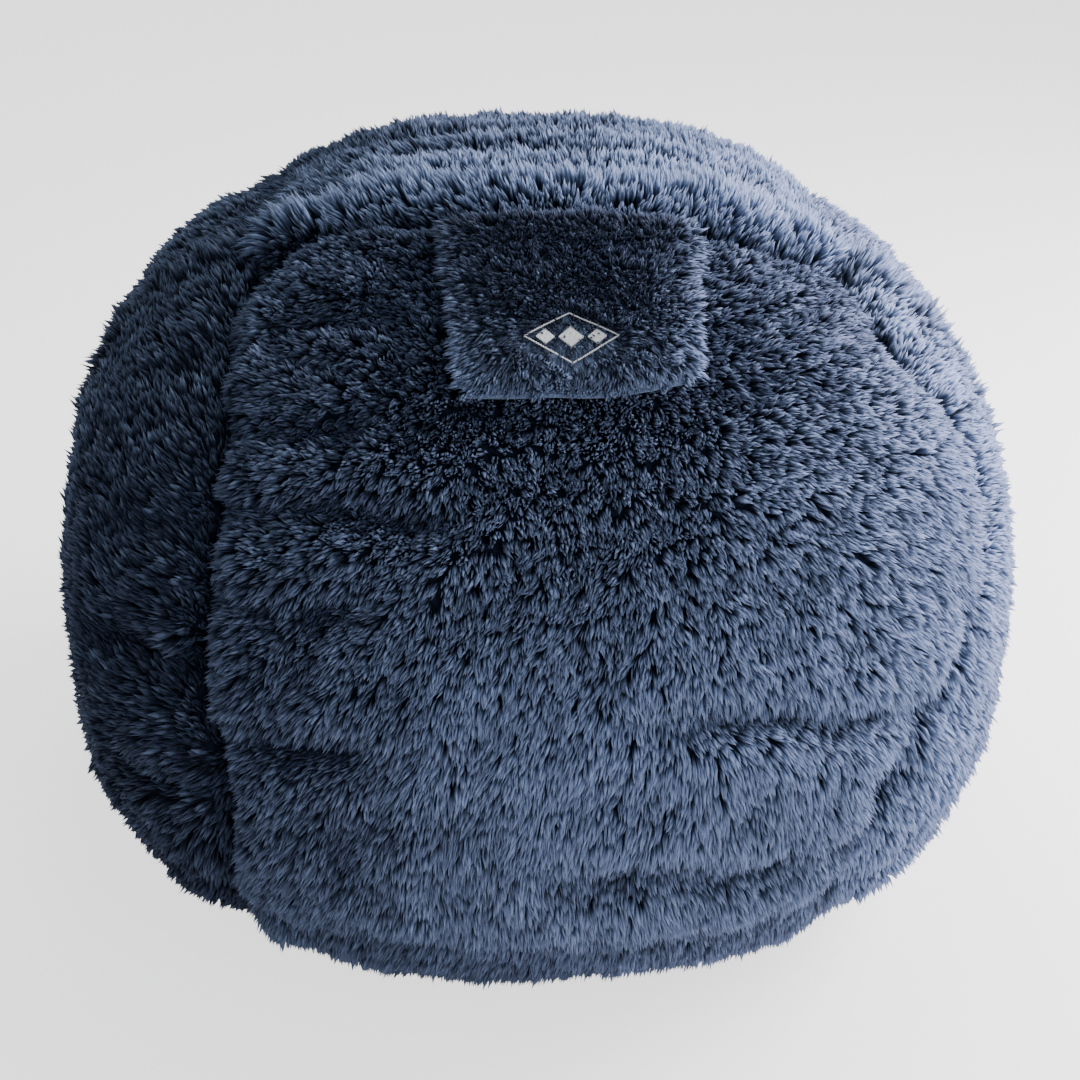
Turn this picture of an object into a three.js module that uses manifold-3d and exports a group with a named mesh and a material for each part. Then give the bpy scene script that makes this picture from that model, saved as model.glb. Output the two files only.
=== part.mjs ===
// Giant bean bag in long-pile plush: one filled cover that slumps on a flat base, with its seams drawn in
// and its slack folded across the top, and a square flap of the same plush sewn on below the top fold.
// Every solid reaches as far as the tips of the pile. Millimetres, +Z up, front towards -Y, and the origin
// is on the floor under the middle of the bag.
//
// A place on the bag is a direction from its heart, the middle of the widest girth, given by two angles in
// degrees: turn goes over the bag from the front (0) to the top (90) and the back (180), and swing goes
// sideways from the middle (0) to the left end (-90) or the right end (90).
import * as THREE from "three";
import { mergeVertices } from "three/addons/utils/BufferGeometryUtils.js";
import Module from "manifold-3d";

const wasm = await Module();
wasm.setup();

// The filled cover.
const WIDTH = 1396;
const DEPTH = 1350;
const HEIGHT = 1060;
const GIRTH_HEIGHT = 410; // the widest girth above the floor
const UNDERSIDE = 475; // how far the underside would reach below the girth if no floor stopped it
const PLAN_POWER = 2.4; // 2 is an ellipse, and more is squarer
const CROWN_POWER = 2.25;
const UNDERSIDE_POWER = 2.6;
const FLOOR_FADE = 70; // folds and seams die out over this height above the floor

// The grid of the cover: lines over the bag, which crowd where it is folded, and rings round its width.
const LINES = 98;
const RINGS = 60;
const END_RINGS = 13; // the rings between each end of the bag and its seam
const LINE_CROWDING = [
  { from: -180, to: -60, each: 7.5 },
  { from: -60, to: -25, each: 4 },
  { from: -25, to: 66, each: 2.9 },
  { from: 66, to: 110, each: 1.6 },
  { from: 110, to: 180, each: 4.7 },
];

// The clumps of the pile: how far they stand up or lie down, and the waves in mm that mix into them.
const CLUMP_HEIGHT = 4.5;
const CLUMP_END_FADE = 8; // a power: the clumps go down where the lines meet at the two ends
const CLUMP_SWAY = 0.6; // how quickly one wave bends another
const CLUMP_WAVES = [
  { x: 1, y: 0.3, z: -0.2, length: 118, bend: 1.4 },
  { x: -0.3, y: 1, z: 0.5, length: 97, bend: 1.9 },
  { x: 0.4, y: -0.4, z: 1, length: 131, bend: 1.6 },
];

// Broad swells and hollows of the filling: where, how high in mm, and how wide in degrees.
const SWELLS = [
  { name: "sloping front", swing: 4, turn: 47, rise: -52, spread: 34 },
  { name: "low belly", swing: -4, turn: -16, rise: 8, spread: 28 },
  { name: "top", swing: -6, turn: 100, rise: -12, spread: 28 },
  { name: "left shoulder", swing: -48, turn: 106, rise: -3, spread: 20 },
  { name: "right shoulder", swing: 54, turn: 106, rise: -6, spread: 20 },
  { name: "left end", swing: -86, turn: 20, rise: -32, spread: 22 },
  { name: "right end", swing: 70, turn: 50, rise: 15, spread: 24 },
  { name: "lower left front", swing: -30, turn: -54, rise: -36, spread: 15 },
  { name: "lower left end", swing: -60, turn: -34, rise: -14, spread: 18 },
  { name: "lower right end", swing: 50, turn: -26, rise: 8, spread: 20 },
  { name: "lower right front", swing: 26, turn: -52, rise: -8, spread: 14 },
  { name: "sagging back", swing: -12, turn: 172, rise: -14, spread: 30 },
];

// Where the two end seams run and how far they are drawn in: the swing at turns round the bag.
const LEFT_SEAM = [
  { turn: -180, swing: -34, depth: 26 },
  { turn: -90, swing: -35, depth: 22 },
  { turn: -45, swing: -33, depth: 24 },
  { turn: -20, swing: -34.5, depth: 34 },
  { turn: 0, swing: -33.5, depth: 40 },
  { turn: 13, swing: -36.5, depth: 42 },
  { turn: 37, swing: -35, depth: 40 },
  { turn: 66, swing: -36, depth: 38 },
  { turn: 96, swing: -33, depth: 20 },
  { turn: 140, swing: -35, depth: 26 },
  { turn: 180, swing: -34, depth: 26 },
];
const RIGHT_SEAM = [
  { turn: -180, swing: 36, depth: 24 },
  { turn: -90, swing: 38, depth: 22 },
  { turn: -13, swing: 38, depth: 14 },
  { turn: -3, swing: 43, depth: 18 },
  { turn: 20, swing: 56, depth: 5 },
  { turn: 40, swing: 61, depth: 8 },
  { turn: 54, swing: 58, depth: 20 },
  { turn: 61, swing: 49, depth: 30 },
  { turn: 68, swing: 45, depth: 32 },
  { turn: 82, swing: 41, depth: 24 },
  { turn: 98, swing: 39, depth: 14 },
  { turn: 140, swing: 35, depth: 24 },
  { turn: 180, swing: 36, depth: 24 },
];
const SEAM_HALF_WIDTH = 24;

// The seam round the base panel, which rises from the middle of the front and back towards the ends.
const BASE_SEAM = { height: 172, endRise: 75, depth: 16, halfWidth: 26 };

// Folds of the slack cover: each runs through its places, given as [swing, turn], and dies out over its
// last place where fades is 1, or over both ends where it is 2.
const TOP_FOLD = [[-35, 69], [-30, 78], [-22, 81], [-8, 79.5], [8, 79], [24, 80.5], [34, 81.5], [41, 80]];
const FOLDS = [
  { name: "top fold", by: TOP_FOLD, depth: 44, halfWidth: 27, fades: 0 },
  { name: "second fold", by: [[-33, 90], [-12, 88], [22, 89]], depth: 28, halfWidth: 20, fades: 1 },
  { name: "third fold", by: [[-26, 98], [2, 97], [30, 96]], depth: 26, halfWidth: 20, fades: 2 },
  { name: "fourth fold", by: [[-33, 106], [-12, 104], [14, 107]], depth: 20, halfWidth: 24, fades: 1 },
  { name: "shoulder fold", by: [[42, 84], [49, 77], [56, 70]], depth: 16, halfWidth: 20, fades: 2 },
  { name: "left gather 1", by: [[-36, 61], [-26, 62], [-12, 62]], depth: 16, halfWidth: 24, fades: 1 },
  { name: "left gather 2", by: [[-36, 47], [-27, 46], [-12, 45]], depth: 18, halfWidth: 24, fades: 1 },
  { name: "left gather 3", by: [[-36, 36], [-24, 36.5], [-4, 34]], depth: 22, halfWidth: 24, fades: 1 },
  { name: "left gather 4", by: [[-36, 25], [-26, 25], [-14, 26]], depth: 14, halfWidth: 24, fades: 1 },
  { name: "left gather 5", by: [[-35, 8], [-27, 8], [-14, 9]], depth: 20, halfWidth: 24, fades: 1 },
  { name: "left end fold", by: [[-34, -2], [-42, -3], [-54, -8]], depth: 22, halfWidth: 20, fades: 1 },
  { name: "left end dimple", by: [[-37, 16], [-42, 17], [-50, 20]], depth: 34, halfWidth: 28, fades: 1 },
  { name: "left end tuck", by: [[-36, 33], [-40, 34], [-48, 38]], depth: 20, halfWidth: 22, fades: 1 },
  { name: "right crease", by: [[10, 14], [30, 10.5], [52, 5]], depth: 22, halfWidth: 26, fades: 2 },
  { name: "low fold", by: [[-2, -9], [17, -8], [40, -13]], depth: 18, halfWidth: 28, fades: 2 },
  { name: "back fold 1", by: [[-33, 128], [-4, 124], [30, 131]], depth: 24, halfWidth: 46, fades: 2 },
  { name: "back fold 2", by: [[-28, 168], [6, 162], [35, 170]], depth: 22, halfWidth: 50, fades: 2 },
  { name: "right end fold", by: [[50, 140], [62, 122], [66, 92]], depth: 20, halfWidth: 34, fades: 2 },
];
const FOLD_SAMPLES = 16;
const FOLD_FADE = 0.3; // the share of a fold over which it dies out
const FOLD_LIP = 0.28; // the cloth pushed up on both sides of a fold, as a share of its depth
const LIP_PLACE = 2.1; // how far the lip lies from the fold's line, in half widths
const BLEND_POWER = 3; // where grooves meet, the deepest one wins, and more sharply for a higher power

// The flap, sewn along its upper edge into the top fold.
const FLAP = {
  width: 302,
  hemWidth: 274,
  length: 284,
  swing: 5.1, // its middle at the sewn edge
  lean: 12, // its hem lies this much further to the right
  topTurn: 75,
  middleTurn: 62,
  hemRise: 26, // its lower edge rises by this much to the right corner
  thick: 25,
  rim: 13, // its thickness at the edges
  sidePower: 7, // how late it thins towards its sides, and towards its upper and lower edges
  endPower: 9,
  hemLift: 9, // its lower edge stands off the bag
  lump: 3,
  columns: 20,
  rows: 18,
};
const FLAP_GAP = 0.35;
const FLAP_SINK = 12; // the part of the flap that the bag then cuts away

// The locks of pile at the flap's rim: each points out of an edge, up a little and down with its weight.
const LOCK = { length: 30, radius: 6.5, every: 11, sides: 3, sunk: 0.35, uneven: 0.25, drop: 0.25 };
const LOCK_UP = { least: 0.05, most: 0.65 };
const LOCK_SEAT = 0.62; // where its root sits in the thickness of the rim

// The edges that carry locks, as [across, down] places on the flap.
const FURRED_EDGES = [
  { name: "left edge", from: [-0.97, 0.04], to: [-0.97, 0.98] },
  { name: "right edge", from: [0.97, 0.04], to: [0.97, 0.98] },
  { name: "sewn edge", from: [-0.94, 0.03], to: [0.94, 0.03] },
];

const PLUSH = new THREE.MeshStandardMaterial({ color: 0x3c4d6b, roughness: 0.95, metalness: 0 });
const FLAP_PLUSH = new THREE.MeshStandardMaterial({ color: 0x24324d, roughness: 0.95, metalness: 0 });

const radians = THREE.MathUtils.degToRad;
const heart = new THREE.Vector3(0, 0, GIRTH_HEIGHT);

function direction(swing, turn) {
  const [a, b] = [radians(swing), radians(turn)];
  return new THREE.Vector3(Math.sin(a), -Math.cos(a) * Math.cos(b), Math.cos(a) * Math.sin(b));
}

// A repeatable number from -1 to 1 for a place on a grid.
function scatter(i, j) {
  const value = Math.sin(i * 12.9898 + j * 78.233) * 43758.5453;
  return 2 * (value - Math.floor(value)) - 1;
}

// How far the plain rounded form reaches from the heart along a direction.
function roundedReach(dir) {
  const across = Math.abs(dir.x / (WIDTH / 2)) ** PLAN_POWER;
  const along = Math.abs(dir.y / (DEPTH / 2)) ** PLAN_POWER;
  const plan = (across + along) ** (1 / PLAN_POWER);
  const half = dir.z > 0 ? HEIGHT - GIRTH_HEIGHT : UNDERSIDE;
  const power = dir.z > 0 ? CROWN_POWER : UNDERSIDE_POWER;
  return (plan ** power + Math.abs(dir.z / half) ** power) ** (-1 / power);
}

const swells = SWELLS.map((s) => ({ ...s, dir: direction(s.swing, s.turn), spread: radians(s.spread) }));

function swellRise(dir) {
  return swells.reduce((sum, s) => sum + s.rise * Math.exp(-((dir.angleTo(s.dir) / s.spread) ** 2)), 0);
}

// Where a seam runs and how deep it is at any turn, eased between the rows of its table.
function seamAt(seam, turn) {
  const next = Math.max(1, seam.findIndex((row) => row.turn >= turn));
  const [a, b] = [seam[next - 1], seam[next]];
  const share = THREE.MathUtils.smoothstep(turn, a.turn, b.turn);
  return {
    swing: THREE.MathUtils.lerp(a.swing, b.swing, share),
    depth: THREE.MathUtils.lerp(a.depth, b.depth, share),
  };
}

// The profile of a seam or fold at a distance from its line: drawn in, between two low lips.
function groove(distance, depth, halfWidth) {
  const share = distance / halfWidth;
  return depth * (FOLD_LIP * Math.exp(-((share - LIP_PLACE) ** 2)) - Math.exp(-(share ** 2)));
}

const folds = FOLDS.map((fold) => {
  const places = fold.by.map(([swing, turn]) => direction(swing, turn));
  const line = new THREE.CatmullRomCurve3(places).getSpacedPoints(FOLD_SAMPLES);
  return { ...fold, line: line.map((p) => p.normalize()) };
});

const stretch = new THREE.Line3();
const nearest = new THREE.Vector3();

// How far a direction lies from a fold's line, and at which share of its run.
function nearestOnFold(fold, dir) {
  const found = { distance: Infinity, share: 0 };
  for (let i = 0; i < FOLD_SAMPLES; i += 1) {
    stretch.set(fold.line[i], fold.line[i + 1]).closestPointToPoint(dir, true, nearest);
    const distance = nearest.distanceTo(dir);
    if (distance < found.distance) {
      found.distance = distance;
      found.share = (i + nearest.distanceTo(fold.line[i]) / stretch.distance()) / FOLD_SAMPLES;
    }
  }
  return found;
}

function foldRise(fold, dir, reach) {
  const { distance, share } = nearestOnFold(fold, dir);
  let depth = fold.depth;
  if (fold.fades > 0) depth *= THREE.MathUtils.smoothstep(1 - share, 0, FOLD_FADE);
  if (fold.fades > 1) depth *= THREE.MathUtils.smoothstep(share, 0, FOLD_FADE);
  return groove(distance * reach, depth, fold.halfWidth);
}

// How far the clumps of pile lift the surface at a point: waves that bend each other.
function clumpRise(point) {
  const waves = CLUMP_WAVES.map((w) => (2 * Math.PI * point.dot(w)) / w.length);
  const mix = waves.map((wave, i) => {
    const next = waves[(i + 1) % waves.length];
    return Math.sin(wave + CLUMP_WAVES[i].bend * Math.sin(CLUMP_SWAY * next));
  });
  return (CLUMP_HEIGHT * (mix[0] + mix[1] + mix[2])) / 2;
}

// Puts grooves together where they meet: the deepest groove and the highest lip win, softly.
function together(rises) {
  const [lips, cuts] = [rises, rises.map((rise) => -rise)].map((list) =>
    list.reduce((sum, rise) => sum + Math.max(0, rise) ** BLEND_POWER, 0) ** (1 / BLEND_POWER),
  );
  return lips - cuts;
}

// The point of the cover in a direction, lifted off its surface where that is asked for.
function coverPoint(swing, turn, lift = 0) {
  const dir = direction(swing, turn);
  const smooth = roundedReach(dir) + swellRise(dir);
  const height = GIRTH_HEIGHT + dir.z * smooth;
  const seams = [LEFT_SEAM, RIGHT_SEAM].map((seam) => {
    const here = seamAt(seam, turn);
    return groove(radians(Math.abs(swing - here.swing)) * smooth, here.depth, SEAM_HALF_WIDTH);
  });
  const baseSeam = BASE_SEAM.height + BASE_SEAM.endRise * dir.x ** 2;
  seams.push(groove(Math.abs(height - baseSeam), BASE_SEAM.depth, BASE_SEAM.halfWidth));
  const drawn = together([...seams, ...folds.map((fold) => foldRise(fold, dir, smooth))]);
  const clump = (1 - Math.abs(dir.x) ** CLUMP_END_FADE) * clumpRise(dir.clone().multiplyScalar(smooth));
  const reach = smooth + lift + (drawn + clump) * THREE.MathUtils.smoothstep(height, 0, FLOOR_FADE);
  const floor = dir.z < 0 ? (GIRTH_HEIGHT + lift) / -dir.z : Infinity;
  const point = dir.multiplyScalar(Math.min(reach, floor)).add(heart);
  if (reach >= floor) point.z = -lift;
  return point;
}

// Turns from a share of the way round, crowded as the table says.
const crowdTotal = LINE_CROWDING.reduce((sum, c) => sum + (c.to - c.from) / c.each, 0);

function turnAt(share) {
  let left = share * crowdTotal;
  for (const c of LINE_CROWDING) {
    const here = (c.to - c.from) / c.each;
    if (left <= here) return c.from + left * c.each;
    left -= here;
  }
  return 180;
}

// Draws even steps together near the last of them, or near the first and the last.
const PULL = 0.1;
const toLast = (t) => t + PULL * Math.sin(Math.PI * t);
const toBoth = (t) => t - PULL * Math.sin(2 * Math.PI * t);

// Swings of the rings from the left end to the right end, with a ring on each seam and more beside it.
function swingAt(ring, turn) {
  const [left, right] = [seamAt(LEFT_SEAM, turn).swing, seamAt(RIGHT_SEAM, turn).swing];
  const toEnd = RINGS - ring;
  if (ring < END_RINGS) return -90 + (left + 90) * toLast(ring / END_RINGS);
  if (toEnd < END_RINGS) return 90 - (90 - right) * toLast(toEnd / END_RINGS);
  return left + (right - left) * toBoth((ring - END_RINGS) / (RINGS - 2 * END_RINGS));
}

// The cover's mesh: a sphere's grid, whose poles are the two ends of the bag, moved out onto the cover.
function coverGeometry(lift = 0) {
  const ball = new THREE.SphereGeometry(1, LINES, RINGS);
  const { position } = ball.attributes;
  for (let row = 0; row <= RINGS; row += 1) {
    for (let line = 0; line <= LINES; line += 1) {
      const index = row * (LINES + 1) + line;
      const pole = row === 0 || row === RINGS;
      const turn = turnAt(pole ? 0 : line / LINES);
      const point = coverPoint(swingAt(row, turn), turn, lift);
      position.setXYZ(index, point.x, point.y, point.z);
    }
  }
  return ball;
}

function solidOf(geometry) {
  const bare = geometry.clone();
  bare.deleteAttribute("normal");
  bare.deleteAttribute("uv");
  const merged = mergeVertices(bare, 1e-3);
  const mesh = new wasm.Mesh({
    numProp: 3,
    vertProperties: merged.attributes.position.array,
    triVerts: new Uint32Array(merged.index.array),
  });
  return new wasm.Manifold(mesh);
}

function geometryOf(solid) {
  const { vertProperties, triVerts } = solid.getMesh();
  const geometry = new THREE.BufferGeometry();
  geometry.setAttribute("position", new THREE.BufferAttribute(vertProperties, 3));
  geometry.setIndex(new THREE.BufferAttribute(triVerts, 1));
  geometry.computeVertexNormals();
  return geometry;
}

// A place on the flap: across from -1 to 1, down from 0 at the sewn edge to 1 at the hem, and how far
// above the bag.
const flapReach = coverPoint(FLAP.swing, FLAP.middleTurn).distanceTo(heart);

function flapPoint(across, down, above) {
  const rise = FLAP.hemRise * down * Math.max(0, across) ** 2;
  const width = THREE.MathUtils.lerp(FLAP.width, FLAP.hemWidth, down);
  const sideways = (across * width) / 2 + FLAP.lean * down;
  const swing = FLAP.swing + THREE.MathUtils.radToDeg(sideways / flapReach);
  const turn = FLAP.topTurn - THREE.MathUtils.radToDeg((down * FLAP.length - rise) / flapReach);
  const point = coverPoint(swing, turn);
  return point.addScaledVector(point.clone().sub(heart).normalize(), above);
}

function flapThickness(across, down) {
  const sides = 1 - Math.abs(across) ** FLAP.sidePower;
  const ends = 1 - Math.abs(2 * down - 1) ** FLAP.endPower;
  return FLAP.rim + (FLAP.thick - FLAP.rim) * Math.sqrt(Math.max(0, sides * ends));
}

const flapLift = (down) => FLAP.hemLift * down ** 3;

// The slab of the flap: a box's grid, laid on the bag with its underside sunk in or standing off.
function flapSlab() {
  const box = new THREE.BoxGeometry(2, 1, 1, FLAP.columns, FLAP.rows, 1);
  const { position } = box.attributes;
  for (let i = 0; i < position.count; i += 1) {
    const across = position.getX(i);
    const down = 0.5 - position.getY(i);
    const lump = FLAP.lump * scatter(Math.round(across * FLAP.columns), Math.round(down * FLAP.rows));
    const top = flapLift(down) + flapThickness(across, down) + lump;
    const under = flapLift(down) - FLAP_SINK * Math.min(0.5, 1 - down);
    const point = flapPoint(across, down, position.getZ(i) > 0 ? top : under);
    position.setXYZ(i, point.x, point.y, point.z);
  }
  return solidOf(box);
}

// A lock of pile: a three-sided spike whose root is sunk in the flap's rim and whose tip points out of it.
function rimLock(across, down, index) {
  const inner = flapPoint(0.9 * across, 0.9 * down + 0.05, 0);
  const root = flapPoint(across, down, FLAP.rim * LOCK_SEAT + flapLift(down));
  const up = root.clone().sub(heart).normalize();
  const rise = THREE.MathUtils.mapLinear(scatter(index, 7), -1, 1, LOCK_UP.least, LOCK_UP.most);
  const away = flapPoint(across, down, 0).sub(inner).normalize().addScaledVector(up, rise);
  away.z -= LOCK.drop;
  const length = LOCK.length * (1 + LOCK.uneven * scatter(index, 3));
  const cone = new THREE.ConeGeometry(LOCK.radius, length, LOCK.sides, 1);
  cone.rotateY(scatter(index, 11) * Math.PI);
  cone.translate(0, length * (0.5 - LOCK.sunk), 0);
  const stand = new THREE.Quaternion().setFromUnitVectors(new THREE.Vector3(0, 1, 0), away.normalize());
  cone.applyQuaternion(stand);
  cone.translate(root.x, root.y, root.z);
  return solidOf(cone);
}

function edgeLocks(edge, which) {
  const [across, down] = [0, 1].map((k) => edge.to[k] - edge.from[k]);
  const run = Math.hypot((across * FLAP.width) / 2, down * FLAP.length);
  const count = Math.floor(run / LOCK.every);
  return Array.from({ length: count }, (_, k) => {
    const share = (k + 0.5) / count;
    return rimLock(edge.from[0] + across * share, edge.from[1] + down * share, k + 100 * which);
  });
}

function flapSolid() {
  const furred = FURRED_EDGES.flatMap(edgeLocks).reduce((sum, lock) => sum.add(lock), flapSlab());
  const clear = furred.subtract(solidOf(coverGeometry(FLAP_GAP)));
  return clear.decompose().reduce((most, piece) => (piece.volume() > most.volume() ? piece : most));
}

function namedMesh(name, geometry, material) {
  const mesh = new THREE.Mesh(geometry, material);
  mesh.name = name;
  return mesh;
}

const beanBag = new THREE.Group();
beanBag.add(namedMesh("filled_cover", geometryOf(solidOf(coverGeometry())), PLUSH));
beanBag.add(namedMesh("front_flap", geometryOf(flapSolid()), FLAP_PLUSH));

// The origin goes under the middle of the bag as it stands.
const middle = new THREE.Box3().setFromObject(beanBag).getCenter(new THREE.Vector3());
beanBag.children.forEach((mesh) => mesh.position.set(-middle.x, -middle.y, 0));

export default beanBag;
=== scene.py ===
import math

import bmesh
import bpy
import numpy as np
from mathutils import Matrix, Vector
from mathutils.bvhtree import BVHTree


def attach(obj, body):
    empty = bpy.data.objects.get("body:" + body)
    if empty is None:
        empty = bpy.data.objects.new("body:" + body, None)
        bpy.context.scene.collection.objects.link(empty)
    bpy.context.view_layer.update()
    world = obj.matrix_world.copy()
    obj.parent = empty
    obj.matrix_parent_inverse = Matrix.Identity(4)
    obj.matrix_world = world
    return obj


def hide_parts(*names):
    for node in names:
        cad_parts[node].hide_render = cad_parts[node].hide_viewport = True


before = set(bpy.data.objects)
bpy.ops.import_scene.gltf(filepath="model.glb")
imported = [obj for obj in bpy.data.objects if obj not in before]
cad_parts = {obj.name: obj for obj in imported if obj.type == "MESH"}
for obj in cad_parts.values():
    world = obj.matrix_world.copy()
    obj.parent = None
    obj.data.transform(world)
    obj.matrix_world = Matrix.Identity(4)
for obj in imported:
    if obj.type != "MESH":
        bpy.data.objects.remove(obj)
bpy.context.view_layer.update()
scene = bpy.context.scene

# The camera. It stands in front of the bag, 3.6 m from its middle, and looks down on it by 30 degrees.
CAMERA_AIM = Vector((0, 0, 0.45))
CAMERA_AWAY = 3.6
CAMERA_RISE = math.radians(30)
LENS = 80.35
LENS_SHIFT = (0.0034, -0.0014)
SENSOR = 36

camera_data = bpy.data.cameras.new("camera")
camera_data.sensor_width = SENSOR
camera_data.lens = LENS
camera_data.shift_x, camera_data.shift_y = LENS_SHIFT
camera = bpy.data.objects.new("camera", camera_data)
camera.location = CAMERA_AIM + CAMERA_AWAY * Vector((0, -math.cos(CAMERA_RISE), math.sin(CAMERA_RISE)))
camera.rotation_euler = (math.pi / 2 - CAMERA_RISE, 0, 0)
scene.collection.objects.link(camera)
scene.camera = camera


# The studio. A pale matt floor runs out of sight on all sides. A broad window-like light stands behind
# and to the right of the bag, weaker ones over it and in front of it, and a little light comes from all
# round. What the camera sees of the floor and the room is brightened, as in a cut-out shop picture.
FLOOR_SIZE = 60
FLOOR_COLOUR = (0.86, 0.86, 0.87, 1)
FLOOR_GLOW = 1.6
LIGHTS = {
    "window light": {"at": (2.7, 0.7, 1.9), "size": 2.4, "watts": 250, "colour": (1.0, 0.93, 1.0)},
    "overhead light": {"at": (0.2, 0.7, 3.2), "size": 2.0, "watts": 42, "colour": (0.95, 1.0, 0.97)},
    "front light": {"at": (1.7, -3.5, 2.1), "size": 3.4, "watts": 68, "colour": (0.95, 0.97, 1.0)},
}
ROOM_LIGHT = 0.30
ROOM_COLOUR = (0.86, 0.91, 1.0, 1)


def linked(name, data):
    thing = bpy.data.objects.new(name, data)
    scene.collection.objects.link(thing)
    return thing


def noded(name):
    """A new material and its Principled node."""
    material = bpy.data.materials.new(name)
    material.use_nodes = True
    return material, material.node_tree.nodes["Principled BSDF"]


def plug(socket, value):
    """Gives an input a value, or another node's output."""
    if isinstance(value, bpy.types.NodeSocket):
        socket.id_data.links.new(value, socket)
    else:
        socket.default_value = value


def set_inputs(node, **values):
    """Plugs values into a node's inputs. Underscores stand for spaces in their names."""
    for key, value in values.items():
        wanted = key.replace("_", " ")
        plug(next(s for s in node.inputs if s.name == wanted and s.enabled), value)


def wired(tree, kind, settings=None, **inputs):
    """A new node with its settings and its inputs."""
    node = tree.nodes.new(kind)
    for key, value in (settings or {}).items():
        setattr(node, key, value)
    set_inputs(node, **inputs)
    return node


def calculated(tree, operation, *values, vector=False):
    node = tree.nodes.new("ShaderNodeVectorMath" if vector else "ShaderNodeMath")
    node.operation = operation
    sockets = [node.inputs[0], node.inputs["Scale"]] if operation == "SCALE" else node.inputs
    for socket, value in zip(sockets, values):
        plug(socket, value)
    return node.outputs[0]


def seen_by_camera(tree):
    """1 for what the camera sees directly, and 0 for light on its way round the room."""
    return wired(tree, "ShaderNodeLightPath").outputs["Is Camera Ray"]


for name, spec in LIGHTS.items():
    lamp = bpy.data.lights.new(name, "AREA")
    lamp.shape = "DISK"
    lamp.size = spec["size"]
    lamp.energy = spec["watts"]
    lamp.color = spec["colour"]
    stand = linked(name, lamp)
    stand.location = spec["at"]
    stand.rotation_euler = (CAMERA_AIM - stand.location).to_track_quat("-Z", "Y").to_euler()

world = bpy.data.worlds.new("room")
world.use_nodes = True
room = world.node_tree
room_light = room.nodes["Background"]
set_inputs(room_light, Color=ROOM_COLOUR, Strength=ROOM_LIGHT)
backdrop = wired(room, "ShaderNodeBackground", Color=(1, 1, 1, 1), Strength=FLOOR_GLOW + ROOM_LIGHT)
by_ray = room.nodes.new("ShaderNodeMixShader")
room.links.new(seen_by_camera(room), by_ray.inputs[0])
room.links.new(room_light.outputs[0], by_ray.inputs[1])
room.links.new(backdrop.outputs[0], by_ray.inputs[2])
room.links.new(by_ray.outputs[0], room.nodes["World Output"].inputs["Surface"])
scene.world = world

half = FLOOR_SIZE / 2
floor_mesh = bpy.data.meshes.new("floor")
corners = [(-half, -half, 0), (half, -half, 0), (half, half, 0), (-half, half, 0)]
floor_mesh.from_pydata(corners, [], [(0, 1, 2, 3)])
floor_finish, bsdf = noded("pale floor")
glow = calculated(floor_finish.node_tree, "MULTIPLY", seen_by_camera(floor_finish.node_tree), FLOOR_GLOW)
set_inputs(bsdf, Base_Color=FLOOR_COLOUR, Roughness=0.9, Emission_Color=(1, 1, 1, 1), Emission_Strength=glow)
floor_mesh.materials.append(floor_finish)
linked("floor", floor_mesh)


# The filled cover. It is one big sack of woven-back plush, cut as a front panel, a top and back panel,
# two end panels and a base, sewn face to face and filled loosely, so it slumps and its slack folds.
# This piece is the cloth under the pile; the pile stands on it and reaches out to the CAD surface.
HEART = np.array((-0.01682, 0.00546, 0.410))  # the middle of the widest girth
PILE_DEPTH = 0.027
COVER_VOXEL = 0.016
BASE_FADE = 0.06  # the pile under the bag is pressed flat up to this height
BASE_LIFT = 0.0015
FILLING = {"start_in": 0.005, "pressure": 4.0, "slack": -0.02, "quality": 4, "frames": 20, "most": 0.010}
SEAM_HALF_WIDTH = 0.015
CREASE_ROUNDS = 24  # how widely the surroundings of a fold are averaged
FOLD_DEEPER = 0.7  # the folds sink in by this share more than the filling lets them
FOLD_PRESSED = 1.6  # but below these heights its weight presses them out, this many times as much
FOLD_FREE = (0.17, 0.24)
FOLD_MOST = 0.03
BASE_TUCK = {"most": 0.012, "heights": (0.02, 0.15), "swings": (-8, 15)}  # at its right the base is drawn in
# Over the top, between these turns and within this distance, the two end seams lie shallow.
NOTCH = {"turns": (88, 98, 125, 145), "within": 0.12, "filled": 1.2}
# Where the two end seams run and how far their stitches pull the cloth in: the turn over the bag and the
# swing from its middle in degrees, and the pull in mm.
LEFT_SEAM = np.array([
    (-180, -34, 8), (-90, -35, 6), (-45, -33, 8), (-20, -34.5, 14), (0, -33.5, 16), (13, -36.5, 18),
    (37, -35, 16), (66, -36, 12), (96, -33, 0), (140, -35, 6), (180, -34, 8),
])
RIGHT_SEAM = np.array([
    (-180, 36, 8), (-90, 38, 6), (-13, 38, 0), (-3, 43, 2), (20, 56, 0), (40, 61, 0), (54, 58, 2),
    (61, 49, 7), (68, 45, 8), (82, 41, 4), (98, 39, 0), (140, 35, 6), (180, 36, 8),
])
TOP_FOLD_TURN = 81
MOTTLE_INPUTS = {
    "Place": ("Vector", None), "Scale": ("Float", 90.0), "Detail": ("Float", 6.0),
    "Dark At": ("Float", 0.35), "Light At": ("Float", 0.7), "Dark": ("Color", None), "Light": ("Color", None),
}
COVER_SPOTS = {
    "Scale": 90, "Detail": 6, "Dark At": 0.35, "Light At": 0.7,
    "Dark": (0.003, 0.005, 0.012, 1), "Light": (0.014, 0.022, 0.05, 1),
}


def vectors_of(items, field):
    found = np.empty(len(items) * 3)
    items.foreach_get(field, found)
    return found.reshape(-1, 3)


def coordinates(mesh):
    return vectors_of(mesh.vertices, "co")


def set_coordinates(mesh, points):
    mesh.vertices.foreach_set("co", points.astype(np.float32).ravel())
    mesh.update()


def lengths(vectors):
    return np.linalg.norm(vectors, axis=1, keepdims=True)


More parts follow.
